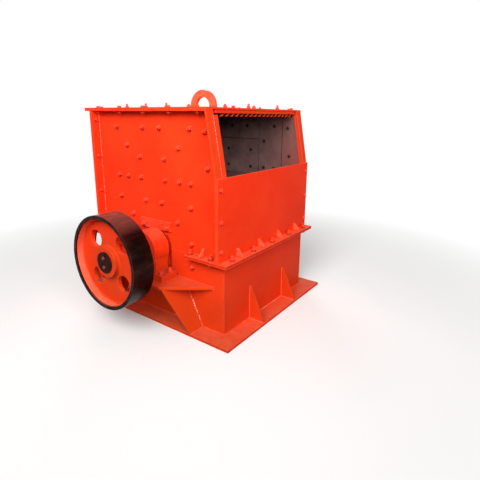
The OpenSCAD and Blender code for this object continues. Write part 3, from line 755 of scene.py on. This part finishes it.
WALL_X = -lower_left[0].x
FRONT_Y = lower_front[0].y
BACK_Y = -FRONT_Y
COVER_FRONT_Y = front_plate[0].y
FLANGE_X = -upper_left[0].x
FLANGE_T = upper_flange[1].z - upper_flange[0].z
SPLIT_TOP = upper_flange[1].z
SPLIT_BOTTOM = lower_flange[0].z
SILL_Z = front_plate[1].z
BASE_TOP = base_flange[1].z
TOP_Z = top_plate[1].z
TOP_FLANGE_UNDER = TOP_Z - 2 * FLANGE_T
MOUTH_TOP_Y = top_plate[0].y
SHAFT_Z = frame["joints"][0]["pos_m"][2]
FLANGE_FRONT_Y = upper_left[0].y
FLANGE_IN_Y = upper_left[0].y + FLANGE_T
FLANGE_BACK_Y = upper_left[1].y
FLANGE_OUT_Y = FLANGE_BACK_Y - FLANGE_T
MOUTH_BAR_TOP = mouth_bar[1].z
COVERS_OUT_X = -covers[0].x
DRUM_R = housing[1].z - SHAFT_Z
# The bar over the shaft slot: its lower edge, its bolts, and the two plates on its face
SLOT_BAR_LOW = covers[1].z - 0.069
SLOT_BOLT_Y, SLOT_BOLT_Z = 0.125, covers[1].z - 0.045
SLOT_PLATE_T, SLOT_PLATE_EDGE, SLOT_PLATE_GAP = 0.004, 0.001, 0.003
# Behind the front's slope: thickness of the mouth's frame, and the comb's reach
FRAME_T, COMB_BACK, COMB_SIDE = 0.0125, 0.038, 0.06
LINER_IN_X, LINER_OUT_X = side_liners[0].x, side_liners[1].x
LUG_HALF_T = lug[1].x
LUG_OUT_Y, LUG_IN_Y = 0.126, 0.071
SIDES = (-1, 1)

# Bolts of the side wear plates: height, and distances before and behind the plates' middle line
LINER_MID_Y = 0.015
LINER_BOLTS = (
    (1.421, (0.086, 0.372)),
    (1.290, (0.267,)),
    (1.208, (0.127,)),
    (1.057, (0.127, 0.270, 0.376)),
    (0.889, (0.085, 0.371)),
    (0.764, (0.238,)),
    (0.628, (0.370,)),
    (0.457, (0.368,)),
)
# Bolts of the plate beside the mouth: height, and distance before the middle line
MOUTH_LINER_BOLTS = ((1.406, 0.505), (1.172, 0.526))
NUT_SIZE = 0.0205
SMALL_BOLT = 0.016
# Length of the bolts' ends past their nuts, in thread diameters
SLOT_STUB, FLANGE_STUB, FRONT_STUB, FOOT_STUB, SPLIT_STUB = 0.3, 0.4, 1.0, 0.35, 1.0
# Heads of the wear plate bolts: shank, rim on the plate's face, and the recess in the middle
SHANK_R = 0.010
HEAD_RIM_R, HEAD_RIM_H, HEAD_BEVEL = 0.0150, 0.0018, 0.0015
HEAD_SINK = 0.0005
RECESS_R, RECESS_DEPTH = 0.0075, 0.006
LINER_BOLT_SIDES = 16


def liner_bolt_places():
    """(y, z) of every wear plate bolt in a side wall."""
    for z, reaches in LINER_BOLTS:
        for reach in reaches:
            for side in SIDES:
                yield LINER_MID_Y + side * reach, z
    for z, reach in MOUTH_LINER_BOLTS:
        yield LINER_MID_Y - reach, z


# Bolts of the back wear plates, four to a plate
BACK_COLUMNS, BACK_ROWS = 3, 3
LINER_GAP = 0.004
BACK_PITCH_X = (back_liners[1].x - back_liners[0].x + LINER_GAP) / BACK_COLUMNS
BACK_PITCH_Z = (back_liners[1].z - back_liners[0].z + LINER_GAP) / BACK_ROWS
BACK_REACH_X, BACK_REACH_Z = 0.100, 0.090


def back_bolt_places():
    """(x, z) of every wear plate bolt in the back plate."""
    for column in range(BACK_COLUMNS):
        for row in range(BACK_ROWS):
            x = (column - (BACK_COLUMNS - 1) / 2) * BACK_PITCH_X
            z = back_liners[0].z - LINER_GAP / 2 + (row + 0.5) * BACK_PITCH_Z
            for side in SIDES:
                for up in SIDES:
                    yield x + side * BACK_REACH_X, z + up * BACK_REACH_Z


def add_slot_plate(pile, side, end):
    """One of the two butted plates on the bar over the shaft slot."""
    near_y, far_y = SLOT_PLATE_GAP / 2, covers[1].y
    edge = SLOT_PLATE_EDGE
    rings = []
    for out, inset in ((0, 0), (SLOT_PLATE_T - edge, 0), (SLOT_PLATE_T, edge)):
        x = side * (COVERS_OUT_X + out)
        low, high = SLOT_BAR_LOW + inset, covers[1].z - inset
        near, far = end * (near_y + inset), end * (far_y - inset)
        rings.append([Vector((x, near, low)), Vector((x, far, low)),
                      Vector((x, far, high)), Vector((x, near, high))])
    pile.loft(rings)


def add_side_wall_nuts(pile, side, rng):
    out = side * X
    for y, z in liner_bolt_places():
        add_nut(pile, Vector((side * WALL_X, y, z)), out, NUT_SIZE, rng)
    for end in SIDES:
        add_slot_plate(pile, side, end)
        place = Vector((side * (COVERS_OUT_X + SLOT_PLATE_T), end * SLOT_BOLT_Y, SLOT_BOLT_Z))
        add_nut(pile, place, out, NUT_SIZE, rng, SLOT_STUB)


# Bolts of the upper half's flanges and of the split flange
TOP_FLANGE_BOLT_Y = tuple(0.056 + 0.256 * i for i in range(-2, 3))
FLANGE_BOLT_X = FLANGE_X - 0.032
BACK_FLANGE_BOLT_Z = tuple(0.63 + 0.279 * i for i in range(4))
FRONT_PLATE_BOLT_Z = (0.637, 0.838, 1.047)
SPLIT_BOLT_X = tuple(0.255 * i for i in range(-2, 3))
SPLIT_BOLT_SIDE_Y = (0.368, 0.553)
SPLIT_BOLT_OUT = 0.038
SPLIT_BOLT = 0.020


def mouth_y(z):
    """Front of the side wall's sloping flange at a height."""
    share = (z - SILL_Z) / (TOP_FLANGE_UNDER - SILL_Z)
    return FLANGE_FRONT_Y + max(0.0, share) * (MOUTH_TOP_Y - FLANGE_FRONT_Y)


def add_flange_bolts(pile, side, rng):
    x = side * FLANGE_BOLT_X
    for y in TOP_FLANGE_BOLT_Y:
        add_nut(pile, Vector((x, y, TOP_FLANGE_UNDER)), -Z, SMALL_BOLT, rng, FLANGE_STUB)
        add_bolt_head(pile, Vector((x, y, TOP_Z)), Z, SMALL_BOLT, rng)
    for z in BACK_FLANGE_BOLT_Z:
        add_nut(pile, Vector((x, FLANGE_OUT_Y, z)), -Y, SMALL_BOLT, rng, FLANGE_STUB)
        add_bolt_head(pile, Vector((x, BACK_Y, z)), Y, SMALL_BOLT, rng)
    for z in FRONT_PLATE_BOLT_Z:
        add_nut(pile, Vector((x, FLANGE_IN_Y, z)), Y, SMALL_BOLT, rng, FRONT_STUB)
        add_bolt_head(pile, Vector((x, COVER_FRONT_Y, z)), -Y, SMALL_BOLT, rng)


def add_split_bolts(pile, rng):
    for end in SIDES:
        for x in SPLIT_BOLT_X:
            y = end * (BACK_Y + SPLIT_BOLT_OUT)
            add_nut(pile, Vector((x, y, SPLIT_TOP)), Z, SPLIT_BOLT, rng, SPLIT_STUB)
            add_bolt_head(pile, Vector((x, y, SPLIT_BOTTOM)), -Z, SPLIT_BOLT, rng)
        for side in SIDES:
            for y in SPLIT_BOLT_SIDE_Y:
                x = side * (WALL_X + SPLIT_BOLT_OUT)
                add_nut(pile, Vector((x, end * y, SPLIT_TOP)), Z, SPLIT_BOLT, rng, SPLIT_STUB)
                add_bolt_head(pile, Vector((x, end * y, SPLIT_BOTTOM)), -Z, SPLIT_BOLT, rng)


# Studs of the top wear plates in side rows, and the bolts along the front edge with their stubs
TOP_STUD_X = 0.44
TOP_STUD_Y = tuple(-0.251 + 0.217 * i for i in range(4))
TOP_STUD_STUB = (0.5, 1.2, 1.1, 1.0)
TOP_FRONT_BOLTS = ((-0.50, 0.5), (-0.36, 0.5), (-0.27, 0.0), (-0.09, 1.1), (-0.02, 0.4),
                   (0.31, 1.1), (0.535, 0.0))
TOP_FRONT_IN = 0.05
TOP_BACK_X = tuple(0.24 * i for i in range(-2, 3))
TOP_BACK_IN = 0.03


def add_top_bolts(pile, rng):
    for side in SIDES:
        for y, stub in zip(TOP_STUD_Y, TOP_STUD_STUB):
            height = stub if side < 0 else TOP_STUD_STUB[0]
            add_nut(pile, Vector((side * TOP_STUD_X, y, TOP_Z)), Z, SMALL_BOLT, rng, height)
    for x, stub in TOP_FRONT_BOLTS:
        add_nut(pile, Vector((x, MOUTH_TOP_Y + TOP_FRONT_IN, TOP_Z)), Z, SMALL_BOLT, rng, stub)
    for x in TOP_BACK_X:
        y = top_plate[1].y - TOP_BACK_IN
        add_bolt_head(pile, Vector((x, y, TOP_Z)), Z, SMALL_BOLT, rng)
        add_nut(pile, Vector((x, y, TOP_FLANGE_UNDER)), -Z, SMALL_BOLT, rng, FLANGE_STUB)


def add_back_nuts(pile, rng):
    for x, z in back_bolt_places():
        add_nut(pile, Vector((x, BACK_Y, z)), Y, NUT_SIZE, rng)


# Bolts through the bearing housings' feet
FOOT_BOLT_REACH = 0.170
FOOT_BOLT_SPREAD = 0.044
FOOT_TOP = shelf[1].z + 0.046


def add_bearing_bolts(pile, side, rng):
    middle_x = side * -(housing[0].x + housing[1].x) / 2
    for end in SIDES:
        for spread in SIDES:
            x = middle_x + spread * FOOT_BOLT_SPREAD
            place = Vector((x, end * FOOT_BOLT_REACH, FOOT_TOP))
            add_nut(pile, place, Z, NUT_SIZE, rng, FOOT_STUB)
            under = Vector((x, end * FOOT_BOLT_REACH, shelf[0].z))
            add_bolt_head(pile, under, -Z, NUT_SIZE, rng)


def make_bolts(paint):
    rng = random.Random(7)
    for side, name in ((-1, "left"), (1, "right")):
        pile = Pile(f"{name}_side_bolts", paint, "housing", "painted_steel")
        add_side_wall_nuts(pile, side, rng)
        add_flange_bolts(pile, side, rng)
        add_bearing_bolts(pile, side, rng)
        pile.finish()
    pile = Pile("split_and_top_bolts", paint, "housing", "painted_steel")
    add_split_bolts(pile, rng)
    add_top_bolts(pile, rng)
    add_back_nuts(pile, rng)
    pile.finish()


def add_liner_bolt(pile, base, axis, thick):
    """Shank in the plate's hole, and a low rim round a recess."""
    seat, top = thick - HEAD_SINK, thick + HEAD_RIM_H
    profile = [(0, SHANK_R), (seat, SHANK_R), (seat, HEAD_RIM_R),
               (thick + 0.6 * HEAD_RIM_H, HEAD_RIM_R), (top, HEAD_RIM_R - HEAD_BEVEL),
               (top, RECESS_R), (thick - RECESS_DEPTH, 0.8 * RECESS_R)]
    add_turned(pile, base, axis, profile, LINER_BOLT_SIDES)


def make_liner_bolts(material):
    """Bolt heads in the holes of the wear plates, as seen through the mouth."""
    pile = Pile("liner_bolt_heads", material, "housing", "wear_plate")
    for side in SIDES:
        for y, z in liner_bolt_places():
            base = Vector((side * LINER_OUT_X, y, z))
            add_liner_bolt(pile, base, -side * X, LINER_OUT_X - LINER_IN_X)
    for x, z in back_bolt_places():
        base = Vector((x, back_liners[1].y, z))
        add_liner_bolt(pile, base, -Y, back_liners[1].y - back_liners[0].y)
    pile.finish()


CAP_BOLT_REACH = 0.032
CAP_BOLT_R, CAP_BOLT_H = 0.013, 0.011
CAP_BOLT_STEPS, CAP_BOLT_SIDES = 6, 20


def make_cap_bolts(material):
    """Round-headed bolts that hold the cap on the shaft's end."""
    pile = Pile("end_cap_bolts", material, "rotor", "dark_cap")
    profile = [(0, CAP_BOLT_R)]
    for i in range(1, CAP_BOLT_STEPS):
        angle = math.pi / 2 * i / CAP_BOLT_STEPS
        profile.append((CAP_BOLT_H * math.sin(angle), CAP_BOLT_R * math.cos(angle)))
    for end in SIDES:
        place = Vector((cap[0].x, 0, SHAFT_Z + end * CAP_BOLT_REACH))
        add_turned(pile, place, -X, profile, CAP_BOLT_SIDES, smooth=True)
    pile.finish()


# Welds of the housing

WELD_R, FINE_WELD_R = 0.0065, 0.0045
MOUTH_SEAM_R, CORNER_SEAM_R = 0.0035, 0.0025
# Where the mouth bar's seam lies: out from the wall, back from the front, up from the sill
SEAM_OUT, SEAM_BACK, SEAM_UP = 0.003, 0.001, 0.004
# Where the split flange stops beside the bearing, and the gussets as the solids have them
SPLIT_STOP_Y = 0.338
GUSSET_T = 0.012
BASE_GUSSET_X, BASE_GUSSET_RUN, BASE_GUSSET_H = 0.235, 0.126, 0.262
SMALL_GUSSET_X = (-0.4065, -0.1355, 0.1355, 0.4065)
SMALL_GUSSET_Y, SMALL_GUSSET_RUN, SMALL_GUSSET_H = 0.468, 0.053, 0.058
BRACKET_FOOT_Y = bracket_gussets[1].y
BRACKET_HEAD_Y = 0.279


def weld_gusset(pile, foot, out, across, run, height, rng):
    """Beads on both faces of an upright gusset, up its wall and out along its flange."""
    for side in SIDES:
        face = foot + side * GUSSET_T / 2 * across
        add_bead(pile, face, face + height * Z, out, side * across, FINE_WELD_R, rng)
        add_bead(pile, face, face + run * out, Z, side * across, FINE_WELD_R, rng)


def weld_seams(pile, side, rng):
    """The long seams that show bright: back flange, mouth bar and bracket gussets."""
    out = side * X
    x = side * WALL_X
    add_bead(pile, (x, FLANGE_OUT_Y, SPLIT_TOP), (x, FLANGE_OUT_Y, TOP_FLANGE_UNDER),
             out, -Y, WELD_R, rng)
    seam_x = side * (WALL_X + SEAM_OUT)
    add_edge_bead(pile, (seam_x, mouth_y(SILL_Z) + SEAM_BACK, SILL_Z + SEAM_UP),
                  (seam_x, mouth_y(MOUTH_BAR_TOP) + SEAM_BACK, MOUTH_BAR_TOP), MOUTH_SEAM_R, rng)
    rise = shelf[0].z - BASE_TOP
    slant = Vector((0, BRACKET_FOOT_Y - BRACKET_HEAD_Y, rise)).normalized()
    for end in SIDES:
        face = Vector((0, end * slant.z, slant.y))
        foot = Vector((x, end * BRACKET_FOOT_Y, BASE_TOP))
        head = Vector((x, end * BRACKET_HEAD_Y, shelf[0].z))
        inner = -GUSSET_T / slant.z * end * Y
        add_bead(pile, foot, head, out, face, WELD_R, rng)
        add_bead(pile, foot + inner, head + inner, out, -face, WELD_R, rng)


def weld_upper_side(pile, side, rng):
    """Beads of an upper side wall: its flanges, the split flange and the small gussets."""
    out = side * X
    x = side * WALL_X
    slope_y = FLANGE_IN_Y + MOUTH_TOP_Y - FLANGE_FRONT_Y
    add_bead(pile, (x, FLANGE_IN_Y, SPLIT_TOP), (x, FLANGE_IN_Y, SILL_Z), out, Y, WELD_R, rng)
    add_bead(pile, (x, FLANGE_IN_Y, SILL_Z), (x, slope_y, TOP_FLANGE_UNDER), out, Y, WELD_R, rng)
    add_bead(pile, (x, slope_y, TOP_FLANGE_UNDER), (x, FLANGE_OUT_Y, TOP_FLANGE_UNDER),
             out, -Z, WELD_R, rng)
    for end in SIDES:
        stop, edge = end * SPLIT_STOP_Y, end * FLANGE_OUT_Y
        add_bead(pile, (x, stop, SPLIT_TOP), (x, edge, SPLIT_TOP), out, Z, FINE_WELD_R, rng)
        foot = Vector((x, end * SMALL_GUSSET_Y, SPLIT_TOP))
        weld_gusset(pile, foot, out, Y, SMALL_GUSSET_RUN, SMALL_GUSSET_H, rng)


def weld_lower_side(pile, side, rng):
    """Beads of a lower side wall: base, split flange, bearing shelf and bracket gussets."""
    out = side * X
    x = side * WALL_X
    add_bead(pile, (x, FRONT_Y, BASE_TOP), (x, BACK_Y, BASE_TOP), out, Z, WELD_R, rng)
    for end in SIDES:
        stop, edge = end * SPLIT_STOP_Y, end * BACK_Y
        add_bead(pile, (x, stop, SPLIT_BOTTOM), (x, edge, SPLIT_BOTTOM), out, -Z,
                 FINE_WELD_R, rng)
    reach = shelf[1].y
    for z, up in ((shelf[1].z, Z), (shelf[0].z, -Z)):
        add_bead(pile, (x, -reach, z), (x, reach, z), out, up, WELD_R, rng)
    for end in SIDES:
        foot = Vector((x, end * BRACKET_FOOT_Y, BASE_TOP))
        base_run = (base_flange[1].x - WALL_X) * out
        add_bead(pile, foot, foot + base_run, end * Y, Z, WELD_R, rng)


def weld_ends(pile, rng):
    """Beads of the front and back walls, their gussets and corners, and of the lifting lug."""
    for end in SIDES:
        y = end * BACK_Y
        out = end * Y
        add_bead(pile, (-WALL_X, y, BASE_TOP), (WALL_X, y, BASE_TOP), out, Z, WELD_R, rng)
        add_bead(pile, (-WALL_X, y, SPLIT_BOTTOM), (WALL_X, y, SPLIT_BOTTOM), out, -Z,
                 FINE_WELD_R, rng)
        for side in SIDES:
            x = side * WALL_X
            add_edge_bead(pile, (x, y, BASE_TOP), (x, y, SPLIT_BOTTOM), CORNER_SEAM_R, rng)
            foot = Vector((side * BASE_GUSSET_X, y, BASE_TOP))
            weld_gusset(pile, foot, out, X, BASE_GUSSET_RUN, BASE_GUSSET_H, rng)
        for x in SMALL_GUSSET_X:
            foot = Vector((x, y, SPLIT_TOP))
            weld_gusset(pile, foot, out, X, SMALL_GUSSET_RUN, SMALL_GUSSET_H, rng)
    foot = Vector((0, 0, TOP_Z))
    for side in SIDES:
        for end in SIDES:
            near = foot + side * LUG_HALF_T * X + end * LUG_IN_Y * Y
            far = near + end * (LUG_OUT_Y - LUG_IN_Y) * Y
            add_bead(pile, near, far, side * X, Z, WELD_R, rng)


def make_welds(paint, seam_paint):
    rng = random.Random(11)
    for side, name, seams in ((-1, "left", seam_paint), (1, "right", paint)):
        pile = Pile(f"{name}_side_seams", seams, "housing", "painted_steel")
        weld_seams(pile, side, rng)
        pile.finish()
        pile = Pile(f"{name}_side_welds", paint, "housing", "painted_steel")
        weld_upper_side(pile, side, rng)
        weld_lower_side(pile, side, rng)
        pile.finish()
    pile = Pile("end_welds", paint, "housing", "painted_steel")
    weld_ends(pile, rng)
    pile.finish()


# Stage and light

FLOOR_HALF = 30
FLOOR_PALE = (0.8, 0.8, 0.79, 1)
FLOOR_BOUNCE = (0.18, 0.18, 0.17, 1)
WHITE = (1, 1, 1, 1)
BLACK = (0, 0, 0, 1)
FADE_START, FADE_END = 1.5, 3.4
WORLD_FILL = 0.33


def add_shown_rays(tree):
    """1 for rays that show the background: from the camera, off gloss and through glass."""
    path = tree.nodes.new("ShaderNodeLightPath")
    value = path.outputs["Is Camera Ray"]
    for name in ("Is Glossy Ray", "Is Transmission Ray"):
        node = tree.nodes.new("ShaderNodeMath")
        node.operation = "MAXIMUM"
        tree.links.new(value, node.inputs[0])
        tree.links.new(path.outputs[name], node.inputs[1])
        value = node.outputs[0]
    return value


def make_floor():
    """Pale floor that takes the shadow near the machine and fades to white around it."""
    n = Nodes("floor")
    shown = add_shown_rays(n.tree)
    parts = n.split()
    distance = n.distance(parts["X"], parts["Y"])
    fade = n.times(n.remap(distance, FADE_START, FADE_END), shown)
    tone = n.mix(shown, FLOOR_BOUNCE, FLOOR_PALE)
    n.set(Base_Color=n.mix(fade, tone, BLACK), Emission_Color=WHITE, Emission_Strength=fade)
    n.set(Roughness=0.9, Specular_IOR_Level=0.0)
    mesh = bpy.data.meshes.new("floor")
    half = FLOOR_HALF
    mesh.from_pydata([(-half, -half, 0), (half, -half, 0), (half, half, 0), (-half, half, 0)],
                     [], [(0, 1, 2, 3)])
    mesh.materials.append(n.material)
    floor = bpy.data.objects.new("floor", mesh)
    bpy.context.scene.collection.objects.link(floor)


def make_world():
    """White where it shows, and a grey fill light on everything else."""
    world = bpy.data.worlds.new("studio")
    bpy.context.scene.world = world
    world.use_nodes = True
    tree = world.node_tree
    background = tree.nodes["Background"]
    strength = tree.nodes.new("ShaderNodeMapRange")
    tree.links.new(add_shown_rays(tree), strength.inputs["Value"])
    strength.inputs["To Min"].default_value = WORLD_FILL
    strength.inputs["To Max"].default_value = 1.0
    tree.links.new(strength.outputs["Result"], background.inputs["Strength"])
    background.inputs["Color"].default_value = WHITE


# Soft area lights, aimed a little above the machine: name, place and watts
LIGHT_SIZE = 3.0
LIGHT_SPREAD = math.radians(95)
AIM = Vector((0, 0, 1.75))
LIGHTS = (
    ("key", (-4.4, -1.6, 4.2), 120),
    ("front", (-2.8, -4.4, 3.2), 68),
    ("back", (3.5, 4.0, 3.6), 50),
)


def add_area_light(name, place, power):
    data = bpy.data.lights.new(name, "AREA")
    data.shape = "SQUARE"
    data.size = LIGHT_SIZE
    data.spread = LIGHT_SPREAD
    data.energy = power
    light = bpy.data.objects.new(name, data)
    aim = (AIM - Vector(place)).to_track_quat("-Z", "Y")
    light.matrix_world = Matrix.Translation(Vector(place)) @ aim.to_matrix().to_4x4()
    bpy.context.scene.collection.objects.link(light)


def dress_cad(materials):
    """Gives every CAD node its material, by the record's slot."""
    slots = {s["node"]: s["material_slot"] for s in frame["record"]["subparts"]}
    for name, node in frame["nodes"].items():
        material = materials[slots[name]]
        if node.material_slots:
            for place in node.material_slots:
                place.material = material
        else:
            node.data.materials.append(material)


def main():
    make_camera()
    details = make_detail_paint()
    materials = {
        "painted_steel": make_paint(),
        "painted_casting": make_cast_paint(),
        "wear_plate": make_wear_plate(),
        "shaft_steel": make_turned_steel(),
        "pulley_rim": make_pulley_rim(),
        "dark_cap": make_oiled_steel("dark_cap", CAP_DARK, CAP_BROWN, PAINT_GLOSS),
        "rotor_steel": make_rough_steel("rotor_steel", ROTOR_DARK, 0.0008),
        "hammer_casting": make_rough_steel("hammer_casting", HAMMER_DARK, 0.0014),
    }
    dress_cad(materials)
    make_bolts(details)
    make_liner_bolts(make_dark_bolt())
    make_cap_bolts(make_oiled_steel("cap_bolts", CAP_BOLT_DARK, CAP_BOLT_BROWN, CAP_BOLT_GLOSS))
    make_welds(details, make_seam_paint())
    make_floor()
    make_world()
    for name, place, power in LIGHTS:
        add_area_light(name, place, power)
    bpy.context.scene.view_settings.view_transform = "Standard"


main()
